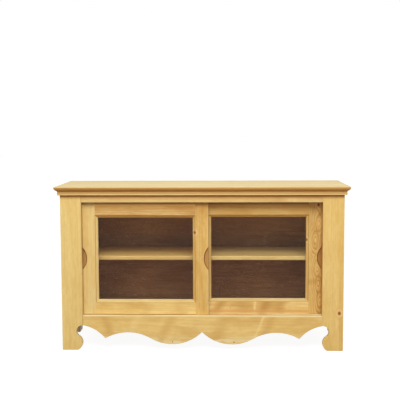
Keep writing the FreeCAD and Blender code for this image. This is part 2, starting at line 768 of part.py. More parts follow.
def door(side, x, y):
    """One sliding door whose left front edge is at x, y."""
    left_stile = stile(x, y, f"{side}_door_stile")
    keep(left_stile, f"{side}_door_left_stile")
    keep(about_door_middle(left_stile, x), f"{side}_door_right_stile")
    bottom = door_rail(
        x, y, DOOR_LOW, PANE_LOW, DOOR_LOW, f"{PANE_LOW} + bead_width", TONGUE_LOW, DOOR_LOW,
    )
    keep(bottom, f"{side}_door_bottom_rail")
    top = door_rail(
        x, y, PANE_HIGH, DOOR_HIGH, f"{PANE_HIGH} - bead_width", DOOR_HIGH, DOOR_HIGH, TONGUE_HIGH,
    )
    keep(top, f"{side}_door_top_rail")

    left = f"{x} + door_stile"
    right = f"{x} + {DOOR_WIDTH} - door_stile"
    glass = span_box(
        (f"{left} + glass_clearance", f"{y} + bead_recess + bead_depth", f"{PANE_LOW} + glass_clearance"),
        (f"{right} - glass_clearance", f"{y} + {REBATE_DEPTH}", f"{PANE_HIGH} - glass_clearance"),
    )
    keep(glass, f"{side}_door_glass")

    across = f"({DOOR_WIDTH} - 2*door_stile)"
    upright = f"({PANE_HIGH} - {PANE_LOW})"
    beads = (
        ("bottom", across, 0, left, PANE_LOW),
        ("top", across, 180, right, PANE_HIGH),
        ("left", upright, 90, left, PANE_HIGH),
        ("right", upright, -90, right, PANE_LOW),
    )
    for place, length, degrees, corner_x, corner_z in beads:
        strip = bead(length, f"{side}_bead")
        turn(strip, ALONG_Y, degrees)
        move(strip, corner_x, f"{y} + bead_recess", corner_z)
        keep(strip, f"{side}_door_bead_{place}")


def fastener(kind, length, x, y, z, axis, degrees):
    """A screw with a tapered head or a pin with a flat one, its head at x, y, z before it is turned."""
    if kind == "screw":
        head = doc.addObject("Part::Cone", "head")
        bind(head, Radius1="screw_head_radius", Radius2="screw_shank_radius", Height="screw_head_height")
    else:
        head = doc.addObject("Part::Cylinder", "head")
        bind(head, Radius="pin_head_radius", Height="pin_head_height")
    shank = doc.addObject("Part::Cylinder", "shank")
    bind(shank, Radius=f"{kind}_shank_radius", Height=length)
    for solid in (head, shank):
        turn(solid, axis, degrees)
        move(solid, x, y, z)
    return fuse([head, shank], kind)


def group(name, members):
    compound = doc.addObject("Part::Compound", name)
    compound.Links = members
    keep(compound, name)


def spread(low, high, count):
    """Places evenly spaced from low to high, as formulas."""
    return [f"({low}) + (({high}) - ({low}))*{step}/{count - 1}" for step in range(count)]


def top_fixings():
    """Glue blocks under the top, each with a screw up into the board."""
    blocks, screws = [], []
    low = f"{UNDER_TOP} - block_size"
    half = "block_size/2"
    side_places = spread(f"{SIDE_FRONT_EDGE} + block_size", f"{SIDE_REAR_EDGE} - block_size", SIDE_BLOCKS)
    spots = [(f"{SIDE_INNER} - {half}", y) for y in side_places]
    spots.append((f"{SIDE_INNER}/2", f"{REAR_RAIL_FRONT} - {half}"))
    for x, y in spots:
        block = box(f"{x} - {half}", f"{y} - {half}", low, "block_size", "block_size", "block_size")
        screw = fastener("screw", "top_screw_length", x, y, low, ALONG_Z, 0)
        blocks += [block, mirror(block)]
        screws += [screw, mirror(screw)]
    group("top_blocks", blocks)
    group("top_screws", screws)


def cleat_fixings():
    """Screws through the cleats into the side frames, the partition and the apron."""
    screws = []
    half = "cleat_size/2"
    floor_level = f"{FLOOR_UNDER} - {half}"
    shelf_level = f"{SHELF_UNDER} - {half}"
    wall = f"{SIDE_INNER} - cleat_size"
    floor_places = spread(f"{SIDE_FRONT_EDGE} + {half}", f"{SIDE_REAR_EDGE} - {half}", SIDE_CLEAT_SCREWS)
    into_side = [(y, floor_level) for y in floor_places]
    into_side.append((f"{SIDE_FRONT_EDGE} - shelf_cleat_lead/2", shelf_level))
    into_side.append((f"{SIDE_REAR_EDGE} + {half}", shelf_level))
    for y, z in into_side:
        screw = fastener("screw", "cleat_screw_length", wall, y, z, ALONG_Y, 90)
        screws += [screw, mirror(screw)]
    face = f"{PARTITION_FACE} + cleat_size"
    ends = (f"{SHELF_FRONT} + 2*cleat_size", f"{REAR_RAIL_FRONT} - 2*cleat_size")
    for y in spread(*ends, CENTRE_CLEAT_SCREWS):
        screw = fastener("screw", "cleat_screw_length", face, y, shelf_level, ALONG_Y, -90)
        screws += [screw, mirror(screw)]
    face = f"{FRAME_BACK} + cleat_size"
    ends = ("cleat_size - front_cleat_length/2", "front_cleat_length/2 - cleat_size")
    for x in spread(*ends, FRONT_CLEAT_SCREWS):
        screws.append(fastener("screw", "cleat_screw_length", x, face, floor_level, ALONG_X, 90))
    group("cleat_screws", screws)


def back_fixings():
    """Pins round the back panel and along the partition."""
    spots = []
    for low, high in (REAR_TOP_LEVELS, REAR_BOTTOM_LEVELS):
        for x in spread(f"pin_side_margin - {SIDE_INNER}", f"{SIDE_INNER} - pin_side_margin", RAIL_PINS):
            spots.append((x, f"({low} + {high})/2"))
    ends = (f"{FLOOR_TOP} + pin_rail_margin", f"{REAR_TOP_LEVELS[0]} - pin_rail_margin")
    edge = f"({SIDE_INNER} + back_rebate/2)"
    for z in spread(*ends, UPRIGHT_PINS):
        spots += [(edge, z), (f"-{edge}", z), ("0", z)]
    head = f"{BACK_PANEL_REAR} + pin_head_height"
    pins = [fastener("pin", "pin_length", x, head, z, ALONG_X, 90) for x, z in spots]
    group("back_pins", pins)


def check(thing):
    if "Invalid" in thing.State or "Error" in thing.State:
        raise RuntimeError(f"{thing.Label} failed: {thing.State}")


top_board()
top_mouldings()
face_frame()
side_frames()
back()
inside()
tracks()
door("left", f"run_clearance - {STOP_FACE}", FRONT_DOOR_FACE)
door("right", f"{STOP_FACE} - run_clearance - {DOOR_WIDTH}", REAR_DOOR_FACE)
top_fixings()
cleat_fixings()
back_fixings()
doc.recompute()

for item in doc.Objects:
    check(item)
for piece in nodes:
    if piece.Shape.isNull() or not piece.Shape.isValid():
        raise RuntimeError(f"{piece.Label} has no valid shape")

os.makedirs("parts", exist_ok=True)
for piece in nodes:
    piece.Shape.exportStep(f"parts/{piece.Label}.step")
print(f"{len(nodes)} pieces written")
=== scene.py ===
import json
import math
import random

import bpy
from mathutils import Matrix, Vector


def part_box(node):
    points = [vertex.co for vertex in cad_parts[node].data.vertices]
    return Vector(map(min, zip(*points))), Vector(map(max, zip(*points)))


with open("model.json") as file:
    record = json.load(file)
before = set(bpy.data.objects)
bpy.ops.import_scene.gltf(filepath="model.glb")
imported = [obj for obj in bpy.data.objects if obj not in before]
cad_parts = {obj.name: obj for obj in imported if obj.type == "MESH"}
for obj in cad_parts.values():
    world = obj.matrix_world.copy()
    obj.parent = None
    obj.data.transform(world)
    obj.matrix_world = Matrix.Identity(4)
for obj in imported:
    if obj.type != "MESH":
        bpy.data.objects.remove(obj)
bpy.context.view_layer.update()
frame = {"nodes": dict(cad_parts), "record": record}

# Heights that the painted light and shade follow, from the pieces' own boxes and the gaps over and under the
# doors, in metres
UPPER_DOOR_GAP = 0.005
LOWER_DOOR_GAP = 0.001
TOP_UNDER, TOP_FACE = (corner.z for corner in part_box("top_board"))
STRIP_UNDER, STRIP_FACE = (corner.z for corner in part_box("top_moulding_front"))
RAIL_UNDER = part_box("top_rail")[0].z
SHELF_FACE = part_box("shelf_left")[1].z
FLOOR_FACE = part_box("bottom_board")[1].z
HEAD = RAIL_UNDER - UPPER_DOOR_GAP
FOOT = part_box("apron")[1].z + LOWER_DOOR_GAP

# Camera, fitted to the photograph: place in metres, turns in radians, lens for a 36 mm sensor
CAMERA_PLACE = (0.1028, -3.6576, 0.9648)
CAMERA_YAW = 0.0314
CAMERA_PITCH = -0.0911
CAMERA_ROLL = 0.0039
CAMERA_LENS = 74.72
SENSOR_WIDTH = 36.0

# Rounding of the arrises: widths in metres, steps, the least angle that is rounded, and how near corners lie
# that are joined before, in metres
ARRIS = 0.0012
BEAD_ARRIS = 0.0006
SHELF_ARRIS = 0.004
ARRIS_SEGMENTS = 2
ARRIS_ANGLE = math.radians(35)
WELD_DISTANCE = 0.00001

# Finger scoops in the door stiles, in metres: height of their middle, radius, how far they reach into the
# stile, how deep they are sunk and how deep their varnished lip is. Then the share of the depth at which the
# wall turns into the floor, and how strongly their unvarnished wood shows, darkened on the walls by painted
# shade
SCOOP_HEIGHT = 0.394
SCOOP_RADIUS = 0.0713
SCOOP_REACH = 0.020
SCOOP_SINK = 0.010
SCOOP_LIP = 0.0006
SCOOP_WALL_SHARE = 0.8
SCOOP_STRENGTH = 0.8

# Light: strength of the surroundings, what is added to it in front and taken from it behind, their tint and
# the white that they are seen as, and a softbox above and in front of the camera, in metres and watts
SURROUND = 0.6
SURROUND_FRONT = 0.3
SURROUND_TINT = (1.0, 0.95, 0.86, 1)
WHITE = (1, 1, 1, 1)
KEY_PLACE = (0.1, -2.6, 2.9)
KEY_TARGET = (0, -0.1, 0.4)
KEY_WIDTH = 2.4
KEY_HEIGHT = 1.8
KEY_WATTS = 100
KEY_TINT = (0.95, 1.0, 1.02)

# Floor: half its width and how far it lies under the feet, in metres, the grey that takes the shadow, the
# glow that lifts it to white, and the warm colour of the light that it throws back
FLOOR_HALF = 20.0
FLOOR_DROP = 0.001
FLOOR_GREY = (0.2, 0.2, 0.2, 1)
FLOOR_GLOW = 0.93
FLOOR_BOUNCE = (0.24, 0.13, 0.06, 1)


def linear(red, green, blue):
    """A colour given as 0 to 255 display values, as a shader wants it."""
    channels = []
    for level in (red, green, blue):
        share = min(max(level, 0), 255) / 255
        channels.append(share / 12.92 if share <= 0.04045 else ((share + 0.055) / 1.055) ** 2.4)
    return (*channels, 1.0)


# Pine, as display values: the usual tone of each slot, how far a board may be off it, and the steps from the
# tone to the paler and the darker wood
TONES = {
    # The top's slot is paler and yellower than the rest, with its gloss turned down: its colour holds part of
    # the sheen, a painted highlight
    "pine_top": (222, 196, 130),
    "pine_frame": (225, 194, 121),
    "pine_door": (222, 187, 113),
    "pine_inside": (219, 171, 101),
}
TONE_SPREAD = 4
PALE_STEP = (6, 11, 16)
DEEP_STEP = (-32, -46, -46)

# Colours added over the wood: brown painted shade in corners, along edges and round the beads, warmer painted
# shade under the moulding, two orange painted shades for the moulded edge, the strip and the rear door's
# foot, honey for painted light, the palest wood for pale streaks and rubbed edges, partly a painted
# highlight, the eyes of a flame, and the unvarnished wood of the finger scoops, whose walls are darkened with
# painted shade
PAINTED_SHADE = linear(142, 84, 32)
UNDERSIDE_SHADE = linear(148, 80, 14)
ORANGE_SHADE = linear(208, 158, 91)
AMBER = linear(211, 167, 100)
HONEY = linear(236, 190, 110)
PALEST_WOOD = linear(236, 221, 170)
EYE = linear(244, 212, 136)
SCOOP_WALL = linear(118, 70, 30)
SCOOP_FLOOR = linear(176, 124, 66)

# Ranges that a board's look is drawn from where it isn't given, with the meanings told at BOARD_LOOKS, and
# the range of the shift that makes its noise its own
PITH_ACROSS = (-0.05, 0.05)
PITH_BEHIND = (0.04, 0.12)
LEAN_ACROSS = (-0.02, 0.02)
LEAN_BEHIND = (-0.03, 0.03)
RING_WIDTH = (0.0045, 0.0065)
RING_CONTRAST = (0.2, 0.32)
NOISE_SHIFT = (10, 90)

# Noise over a board: waves per metre along and across the grain, octaves and roughness
NOISES = {
    "sway": (3.0, 12.0, 2.0, 0.5),
    "ripple": (14.0, 30.0, 2.0, 0.5),
    "ring_drift": (9.0, 60.0, 2.0, 0.5),
    "breaks": (12.0, 50.0, 2.0, 0.5),
    "clouds": (7.0, 12.0, 3.0, 0.5),
    "lines": (2.0, 230.0, 4.0, 0.6),
    "mottling": (30.0, 110.0, 3.0, 0.6),
    "fibres": (30.0, 900.0, 2.0, 0.5),
}

# The middle of any noise and the range that most of it lies in, the levels between which patches of a board's
# noise come in, and how strongly the mottling and the fibres darken the wood
NOISE_MIDDLE = 0.5
NOISE_RANGE = (0.3, 0.7)
LEVELS = {
    "breaks": (0.3, 0.6),
    "clouds": (0.42, 0.72),
    "lines": (0.45, 0.75),
    "mottling": (0.3, 0.7),
    "fibres": (0.5, 0.8),
}
MOTTLING = 0.22
FIBRES = 0.2

# Tides of paler and honey wood, which follow the rings: waves per metre along the grain and across the rings,
# octaves, roughness, and the levels between which the honey comes in
TIDE_ALONG = 1.3
TIDE_ACROSS = 42.0
TIDE_OCTAVES = 3.0
TIDE_ROUGHNESS = 0.55
TIDE_LEVELS = (0.33, 0.67)

# How the grain wanders: metres of sway or ripple in the rings, the bands and the streaks, how far the rings
# drift, and how sharply each ring ends in its dark late wood
LOG_SWAY = 0.016
FLAME_RIPPLE = 0.012
BAND_SWAY = 0.015
STREAK_SWAY = 0.02
STREAK_RIPPLE = 0.014
RING_DRIFT = 0.5
LATE_WOOD_POWER = 2.4

# Knots and eyes: how much longer than wide they are, how far out they bend the rings, in their radii, and by
# how many rings. Then a knot's halo, ring and heart: colour, where it starts to fade and where it is gone, in
# knot radii, and strength
KNOT_STRETCH = 1.3
KNOT_REACH = 4.0
KNOT_PUSH = 2.5
EYE_STRETCH = 2.6
EYE_REACH = 5.0
EYE_PUSH = 3.5
KNOT_ZONES = [
    (linear(236, 204, 142), 1.2, 3.0, 0.6),
    (linear(176, 112, 52), 0.7, 1.3, 0.9),
    (linear(124, 72, 36), 0.3, 0.9, 0.9),
]

# Stray knots: length and width of the cells that hold one at most, in metres, how far a knot strays in its
# cell, the share of cells without one, and a knot's least radius and what chance adds to it, in cells. Where
# no knot or eye is near, the nearest counts as this many radii off
STRAY_LENGTH = 0.30
STRAY_WIDTH = 0.13
STRAY_SPREAD = 0.8
STRAY_RARE = 0.95
STRAY_LEAST = 0.02
STRAY_MORE = 0.03
FAR_OFF = 100.0

# A flame: where the colour of its eyes starts to fade and where it is gone, in eye radii, and its strength,
# how far from the board's low edge the rings come in and are full, in metres, and how much of them breaks up
EYE_FADE = (0.4, 1.8)
EYE_STRENGTH = 0.6
FLAME_FROM = 0.010
FLAME_FULL = 0.035
FLAME_BREAKS = 0.7

# Pale, rubbed edges of a board, partly a painted highlight, or painted shade along them, and painted shade
# along
# the outer edges of the glazing beads: reach in metres, the levels of the sway between which the edge marks
# come in, and the strength of each bead's painted shade
EDGE_MARK_REACH = 0.006
EDGE_MARK_LEVELS = (-0.4, 0.1)
BEAD_SHADE_REACH = 0.0035
BEAD_SHADES = {"top": 1.0, "bottom": 0.0, "left": 0.8, "right": 0.8}

# Painted light and shade on boards, by height: painted shade under the top's moulding, along the rail's lower
# edge, on the moulding, on the strip below it, on the head of the rear door and at the doors' feet, where the
# rear door's foot also has a pale line, and painted light on the head of the front door and the top of the
# left
# shelf: colour, height, reach and strength, which is over 1 where it stays full for some way
UNDER_MOULDING = [(UNDERSIDE_SHADE, STRIP_UNDER, 0.022, 0.85)]
RAIL_EDGE = [(PAINTED_SHADE, RAIL_UNDER, 0.003, 0.6)]
MOULDED_EDGE = [
    (AMBER, (TOP_UNDER + TOP_FACE) / 2, 0.016, 2.5),
    (ORANGE_SHADE, TOP_FACE - 0.0045, 0.0042, 0.9),
    (PAINTED_SHADE, TOP_UNDER + 0.004, 0.006, 0.27),
]
STRIP = [(ORANGE_SHADE, STRIP_FACE - 0.0005, 0.0085, 1.0), (PAINTED_SHADE, STRIP_FACE + 0.002, 0.007, 0.48)]
FRONT_HEAD = [(HONEY, HEAD - 0.007, 0.0085, 0.9)]
FRONT_FOOT = [(PAINTED_SHADE, FOOT, 0.0035, 0.8)]
REAR_HEAD = [(PAINTED_SHADE, HEAD, 0.014, 0.8)]
REAR_FOOT = [(ORANGE_SHADE, FOOT + 0.010, 0.014, 0.8), (PALEST_WOOD, FOOT, 0.004, 0.8)]
SHELF_TOP = [(HONEY, SHELF_FACE, 0.003, 0.7)]
PAINTED_LIGHT_AND_SHADE = {
    "top_board": MOULDED_EDGE,
    "top_moulding": STRIP,
    "top_rail": UNDER_MOULDING + RAIL_EDGE,
    "front_post": UNDER_MOULDING,
    "side_top_rail": UNDER_MOULDING,
    "side_front_stile": UNDER_MOULDING,
    "side_rear_stile": UNDER_MOULDING,
    "left_door_top_rail": FRONT_HEAD,
    "left_door_left_stile": FRONT_FOOT,
    "left_door_bottom_rail": FRONT_FOOT,
    "right_door_top_rail": REAR_HEAD,
    "right_door_bottom_rail": REAR_FOOT,
    "shelf_left": SHELF_TOP,
}

# Varnish: least and most roughness, gloss of the top and of the rest, and how the rings and fibres stand out:
# the rings' share, strength and height in metres
VARNISH_ROUGHNESS = (0.36, 0.5)
TOP_GLOSS = 0.18
GLOSS = 0.25
RING_RELIEF = 0.4
RELIEF = 0.25
RELIEF_HEIGHT = 0.0002

# Brown back panel. Its layers are clouds, streaks, felt and flecks: colour, waves per metre along X, Y and Z,
# octaves, the levels between which the layer comes in, and strength. It has painted shade above the shelf and
# the bottom board and painted light near the top: colour, height, reach and strength
FELT_WAVES = (260, 260, 260)
FELT_OCTAVES = 4.0
FELT_ROUGHNESS = (0.55, 0.7)
FELT_GLOSS = 0.2
FELT_RELIEF = 0.3
FELT_HEIGHT = 0.0003
BOARD_BROWN = linear(188, 142, 99)
BOARD_PALE = linear(226, 178, 130)
BOARD_DARK = linear(90, 58, 38)
BOARD_LAYERS = [
    (linear(168, 122, 83), (5, 5, 9), 3.0, (0.35, 0.65), 1.0),
    (linear(144, 97, 64), (7, 7, 110), 3.0, (0.4, 0.7), 0.5),
    (linear(122, 78, 50), FELT_WAVES, FELT_OCTAVES, (0.45, 0.75), 0.9),
    (BOARD_PALE, (60, 60, 240), 2.0, (0.62, 0.76), 0.9),
]
BOARD_LIGHT_AND_SHADE = [
    (BOARD_DARK, SHELF_FACE, 0.09, 0.42),
    (BOARD_DARK, FLOOR_FACE, 0.09, 0.5),
    (BOARD_PALE, RAIL_UNDER - 0.096, 0.09, 0.2),
]

# Zinc plated steel: waves per metre and octaves of its spangle, its two greys and its roughness
SPANGLE_WAVES = (900, 900, 900)
SPANGLE_OCTAVES = 3.0
ZINC_DARK = linear(150, 148, 142)
ZINC_PALE = linear(186, 184, 178)
ZINC_ROUGHNESS = (0.28, 0.45)

# Glass: tint, a low index for little gloss, and its haze: waves per metre, octaves, the levels between which
# it comes in, and roughness
GLASS_TINT = linear(251, 252, 250)
GLASS_IOR = 1.2
HAZE_WAVES = (6, 6, 4)
HAZE_OCTAVES = 3.0
HAZE_LEVELS = (0.4, 0.8)
HAZE_ROUGHNESS = (0.0, 0.03)

# A knot that lies half on the left door's right stile and half on the bead beside it
STILE_KNOT = (0.5055, -0.0300, 0.0055)

# How single boards look, in metres and shares. tone: display colour. deep: the step from it to the darkest
# wood. pith: where the middle of the log lies across and behind the board. lean: how the log runs off along
# the board. ring: width of a ring. contrast: how rings show. flame: rings run round the eyes, with this
# scale, and not round the log. lines: how the long grain shows. clouds: how soft patches show. wear: how
# pale and rubbed the edges on the low and the high side are, partly a painted highlight, or how strong the
# painted shade along them is where it is below 0. stray: whether stray knots may show, as they may on boards
# that aren't listed. knots and eyes: place along and across the board, and radius. bands: place along the
# board, slant, half width and how pale, or dark where it is below 0. streaks: place across the board, half
# width and how pale or dark, beyond 1 where that stays full for some way.
BOARD_LOOKS = {
    "top_board": {
        # Its pale tone holds part of the top's sheen as a painted highlight
        "tone": (228, 210, 139), "pith": (0.05, 0.10), "lean": (0.004, 0.01), "ring": 0.006,
        "contrast": 0.2, "wear": (0.0, 0.0),
        "streaks": [
            (0.150, 0.05, -0.5), (0.06, 0.03, 0.5), (0.0, 0.03, -0.3), (-0.06, 0.05, 0.6),
            (-0.15, 0.03, -0.3),
        ],
    },
    "top_rail": {
        "tone": (218, 184, 113), "pith": (0.02, 0.10), "lean": (0.003, 0.01), "ring": 0.006,
        "contrast": 0.14,
        "bands": [(0.394, 0.2, 0.014, 0.5), (0.33, 0.3, 0.05, -0.3)],
    },
    "front_post_left": {
        "tone": (229, 200, 126), "pith": (0.03, 0.12), "lean": (0.005, 0.01), "ring": 0.006,
        "contrast": 0.1, "lines": 0.3, "clouds": 0.15, "wear": (0.3, -0.5),
    },
    "front_post_right": {
        "tone": (227, 193, 116), "pith": (0.02, 0.09), "lean": (0.01, 0.02), "ring": 0.0065,
        "contrast": 0.12, "lines": 0.3, "clouds": 0.15, "wear": (-0.1, 0.2),
        "knots": [(0.1630, 0.5830, 0.0068)],
        "eyes": [(0.4694, 0.602, 0.008), (0.5689, 0.5728, 0.003)],
        "bands": [(0.02, 0.0, 0.10, -0.1)],
        "streaks": [(0.590, 0.012, -0.2)],
    },
    "apron": {
        "tone": (231, 200, 127), "pith": (0.02, 0.10), "lean": (0.005, 0.02), "ring": 0.007,
        # Its high edge mark makes the whole top face of the apron pale: a painted highlight
        "contrast": 0.16, "clouds": 0.5, "wear": (0.3, 1.0),
        "knots": [(-0.1267, 0.037, 0.002), (0.1365, 0.036, 0.0025)],
        "bands": [
            (0.238, 0.45, 0.010, 0.9), (0.275, 0.45, 0.035, -0.5), (-0.155, 0.5, 0.04, -0.45),
            (-0.40, -0.3, 0.03, -0.45), (-0.30, 0.4, 0.03, 0.6), (0.08, 0.3, 0.05, -0.4),
        ],
        "streaks": [(0.042, 0.032, 0.9)],
    },
    "left_door_left_stile": {
        "tone": (226, 195, 123), "pith": (0.03, 0.09), "lean": (0.004, 0.01), "ring": 0.006,
        "contrast": 0.1, "lines": 0.3, "clouds": 0.15, "wear": (-0.5, 0.8),
        "streaks": [(-0.470, 0.024, 0.3)],
    },
    "left_door_right_stile": {
        "tone": (219, 180, 103), "pith": (0.01, 0.05), "lean": (0.01, 0.02), "ring": 0.007,
        "contrast": 0.22,
        "knots": [STILE_KNOT],
        "eyes": [(0.4431, -0.0104, 0.006), (0.6105, -0.0055, 0.008)],
        "bands": [(0.65, 0.0, 0.13, -0.7)],
        "streaks": [(-0.014, 0.016, 0.12), (0.003, 0.008, -0.2)],
    },
    "left_door_top_rail": {
        "tone": (206, 164, 94), "pith": (0.035, 0.06), "lean": (0.004, 0.01), "ring": 0.012,
        "contrast": 0.22, "clouds": 0.5, "wear": (0.4, 0.0),
        "streaks": [(0.5860, 0.003, 0.55), (0.5935, 0.0025, 0.55), (0.600, 0.002, 0.2)],
    },
    "left_door_bottom_rail": {
        "tone": (231, 200, 126), "pith": (0.03, 0.05), "lean": (0.01, 0.03), "ring": 0.009,
        "contrast": 0.2, "clouds": 0.7, "wear": (0.2, 1.0),
    },
    # The left bead's pale tone is painted light, as if it were lit from the right
    "left_door_bead_left": {"tone": (242, 213, 142)},
    "left_door_bead_right": {
        "tone": (231, 192, 113), "pith": (0.03, 0.05), "lean": (0, 0.01), "ring": 0.004,
        "contrast": 0.2,
        "knots": [STILE_KNOT],
    },
    "left_door_bead_top": {"tone": (238, 199, 122)},
    "left_door_bead_bottom": {"tone": (215, 186, 119)},
    "right_door_left_stile": {
        # Its paler tone is painted light, lifting the shade that the left door throws on it
        "tone": (240, 203, 127), "pith": (0.02, 0.06), "lean": (0.005, 0.01), "ring": 0.006,
        "contrast": 0.18,
    },
    "right_door_right_stile": {
        "tone": (219, 181, 105), "deep": (-50, -66, -58), "flame": 0.006, "ring": 0.0085,
        "contrast": 1.0, "lines": 0.3, "wear": (0.6, -0.1),
        "knots": [(0.6215, 0.4960, 0.0060)],
        "eyes": [
            (0.6225, 0.5010, 0.006), (0.543, 0.4978, 0.006), (0.472, 0.4835, 0.006),
            (0.3443, 0.4932, 0.006), (0.2834, 0.4985, 0.006), (0.2091, 0.5051, 0.006),
        ],
        "bands": [(0.289, 0.0, 0.024, -0.35)],
        "streaks": [(0.512, 0.02, -0.35)],
    },
    "right_door_top_rail": {
        "tone": (224, 184, 106), "pith": (0.03, 0.06), "lean": (0.006, 0.02), "ring": 0.008,
        "contrast": 0.2, "clouds": 0.35, "wear": (0.7, 0.0),
    },
    "right_door_bottom_rail": {
        "tone": (232, 200, 129), "deep": (-46, -58, -54), "pith": (0.02, 0.05), "lean": (0.01, 0.03),
        "ring": 0.008, "contrast": 0.22, "clouds": 0.7, "wear": (0.2, 1.0),
        "knots": [(0.1211, 0.1751, 0.002)],
        "bands": [
            (0.2256, 0.1, 0.010, 0.9), (0.268, 0.5, 0.035, -0.9), (0.17, 0.0, 0.05, -0.3),
            (0.07, 0.6, 0.04, -0.8), (0.34, 0.4, 0.03, -0.5),
        ],
    },
    "right_door_bead_right": {
        "tone": (226, 186, 109), "pith": (0.03, 0.05), "lean": (0, 0.01), "ring": 0.004,
        "contrast": 0.25,
        "knots": [(0.471, 0.4470, 0.0052)],
    },
    "right_door_bead_top": {"tone": (234, 194, 116)},
    "right_door_bead_bottom": {"tone": (211, 181, 115)},
    "shelf_left": {"tone": (219, 180, 111), "wear": (0.0, 0.0), "stray": True},
    "shelf_right": {"tone": (223, 188, 118), "wear": (0.0, 0.0), "stray": True},
    "bottom_board": {"tone": (200, 156, 94), "stray": True},
    "lower_track": {
        "tone": (217, 171, 103), "wear": (0.0, 0.0),
        # The pale streak along the rear land is painted light and the dark one along the front land and
        # groove painted shade
        "streaks": [(-0.132, 0.010, 2.0), (-0.152, 0.010, -1.5)],
    },
}


class Graph:
    """A node tree whose nodes are written as expressions."""

    def __init__(self, tree):
        self.tree = tree
        self.tree.nodes.clear()

    def put(self, value, socket):
        if isinstance(value, bpy.types.NodeSocket):
            self.tree.links.new(value, socket)
        else:
            socket.default_value = value

    def node(self, kind, *values, **settings):
        node = self.tree.nodes.new(kind)
        for name, setting in settings.items():
            setattr(node, name, setting)
        for value, socket in zip(values, node.inputs):
            self.put(value, socket)
        return node

    def math(self, operation, *values):
        return self.node("ShaderNodeMath", *values, operation=operation).outputs[0]

    def vector(self, x, y, z):
        return self.node("ShaderNodeCombineXYZ", x, y, z).outputs[0]

    def length(self, vector):
        return self.node("ShaderNodeVectorMath", vector, operation="LENGTH").outputs["Value"]

    def place(self):
        """A node that splits a point's place in the frame, at rest, into X, Y and Z."""
        return self.node("ShaderNodeSeparateXYZ", self.node("ShaderNodeTexCoord").outputs["Object"])

    def ramp(self, value, low, high, to_low=0.0, to_high=1.0):
        """A smooth step of the value from to_low to to_high."""
        step = self.node("ShaderNodeMapRange", value, low, high, to_low, to_high)
        step.interpolation_type = "SMOOTHSTEP"
        return step.outputs[0]

    def near(self, value, place, reach, strength):
        """The strength where the value is at the place, fading to nothing at this reach from it."""
        off = self.math("ABSOLUTE", self.math("SUBTRACT", value, place))
        return self.ramp(off, 0.0, reach, strength, 0.0)

    def noise(self, vector, octaves, roughness=0.5):
        texture = self.node("ShaderNodeTexNoise")
        self.put(vector, texture.inputs["Vector"])
        texture.inputs["Scale"].default_value = 1.0
        texture.inputs["Detail"].default_value = octaves
        texture.inputs["Roughness"].default_value = roughness
        return texture.outputs[0]

    def grain_noise(self, waves, octaves):
        """Noise over the piece itself, with its own waves per metre along each axis."""
        place = self.node("ShaderNodeTexCoord").outputs["Object"]
        stretch = self.node("ShaderNodeMapping", place)
        stretch.inputs["Scale"].default_value = waves
        return self.noise(stretch.outputs[0], octaves)

    def mix(self, share, first, second):
        node = self.node("ShaderNodeMix", data_type="RGBA")
        self.put(share, node.inputs[0])
        self.put(first, node.inputs[6])
        self.put(second, node.inputs[7])
        return node.outputs[2]

    def bump(self, height, strength, distance):
        node = self.node("ShaderNodeBump")
        node.inputs["Strength"].default_value = strength
        node.inputs["Distance"].default_value = distance
        self.put(height, node.inputs["Height"])
        return node.outputs[0]

    def principled(self, **sockets):
        """A Principled shader. A socket's name has _ for each space."""
        shader = self.node("ShaderNodeBsdfPrincipled")
        for name, value in sockets.items():
            self.put(value, shader.inputs[name.replace("_", " ")])
        return shader.outputs[0]

    def seen_directly(self):
        """1 for rays that show a surface as a picture: from the camera, off gloss or through glass."""
        rays = self.node("ShaderNodeLightPath")
        shown = self.math("MAXIMUM", rays.outputs["Is Camera Ray"], rays.outputs["Is Glossy Ray"])
        return self.math("MAXIMUM", shown, rays.outputs["Is Transmission Ray"])


def new_material(name):
    material = bpy.data.materials.new(name)
    material.use_nodes = True
    return material, Graph(material.node_tree)


def grain_axes(name):
    """Directions along the grain, across the face and into the board."""
    if "_door_" in name or name.startswith(("front_post", "top_rail", "apron", "top_moulding_front")):
        upright = name.endswith(("stile", "bead_left", "bead_right")) or name.startswith("front_post")
        return "ZXY" if upright else "XZY"
    upright_sideways = ("side_front_stile", "side_rear_stile", "side_panel", "centre_partition", "door_stop")
    if name.startswith(upright_sideways):
        return "ZYX"
    front_to_back = (
        "side_", "bottom_cleat_left", "bottom_cleat_right", "shelf_side", "shelf_centre", "top_moulding",
    )
    if name.startswith(front_to_back):
        return "YZX"
    if name.startswith("rear_"):
        return "XZY"
    return "XYZ"


def board_look(name, slot):
    """The board's own look, filled up by one drawn from its name so that no two boards match."""
    chance = random.Random(name)
    shade = chance.uniform(-TONE_SPREAD, TONE_SPREAD)
    look = {
        "pith": (chance.uniform(*PITH_ACROSS), chance.uniform(*PITH_BEHIND)),
        "lean": (chance.uniform(*LEAN_ACROSS), chance.uniform(*LEAN_BEHIND)),
        "ring": chance.uniform(*RING_WIDTH),
        "contrast": chance.uniform(*RING_CONTRAST),
        "tone": tuple(level + shade for level in TONES[slot]),
        "deep": DEEP_STEP,
        "flame": 0.0,
        "lines": 0.4,
        "clouds": 0.25,
        "wear": (0.4, 0.4),
        "stray": name not in BOARD_LOOKS,
        "knots": [],
        "eyes": [],
        "bands": [],
        "streaks": [],
    }
    look.update(BOARD_LOOKS.get(name, {}))
    return look


def fade(graph, place, changes, colour):
    """The colour with these changes, each a colour, a height, its reach and its strength."""
    for shade, height, reach, strength in changes:
        colour = graph.mix(graph.near(place.outputs["Z"], height, reach, strength), colour, shade)
    return colour


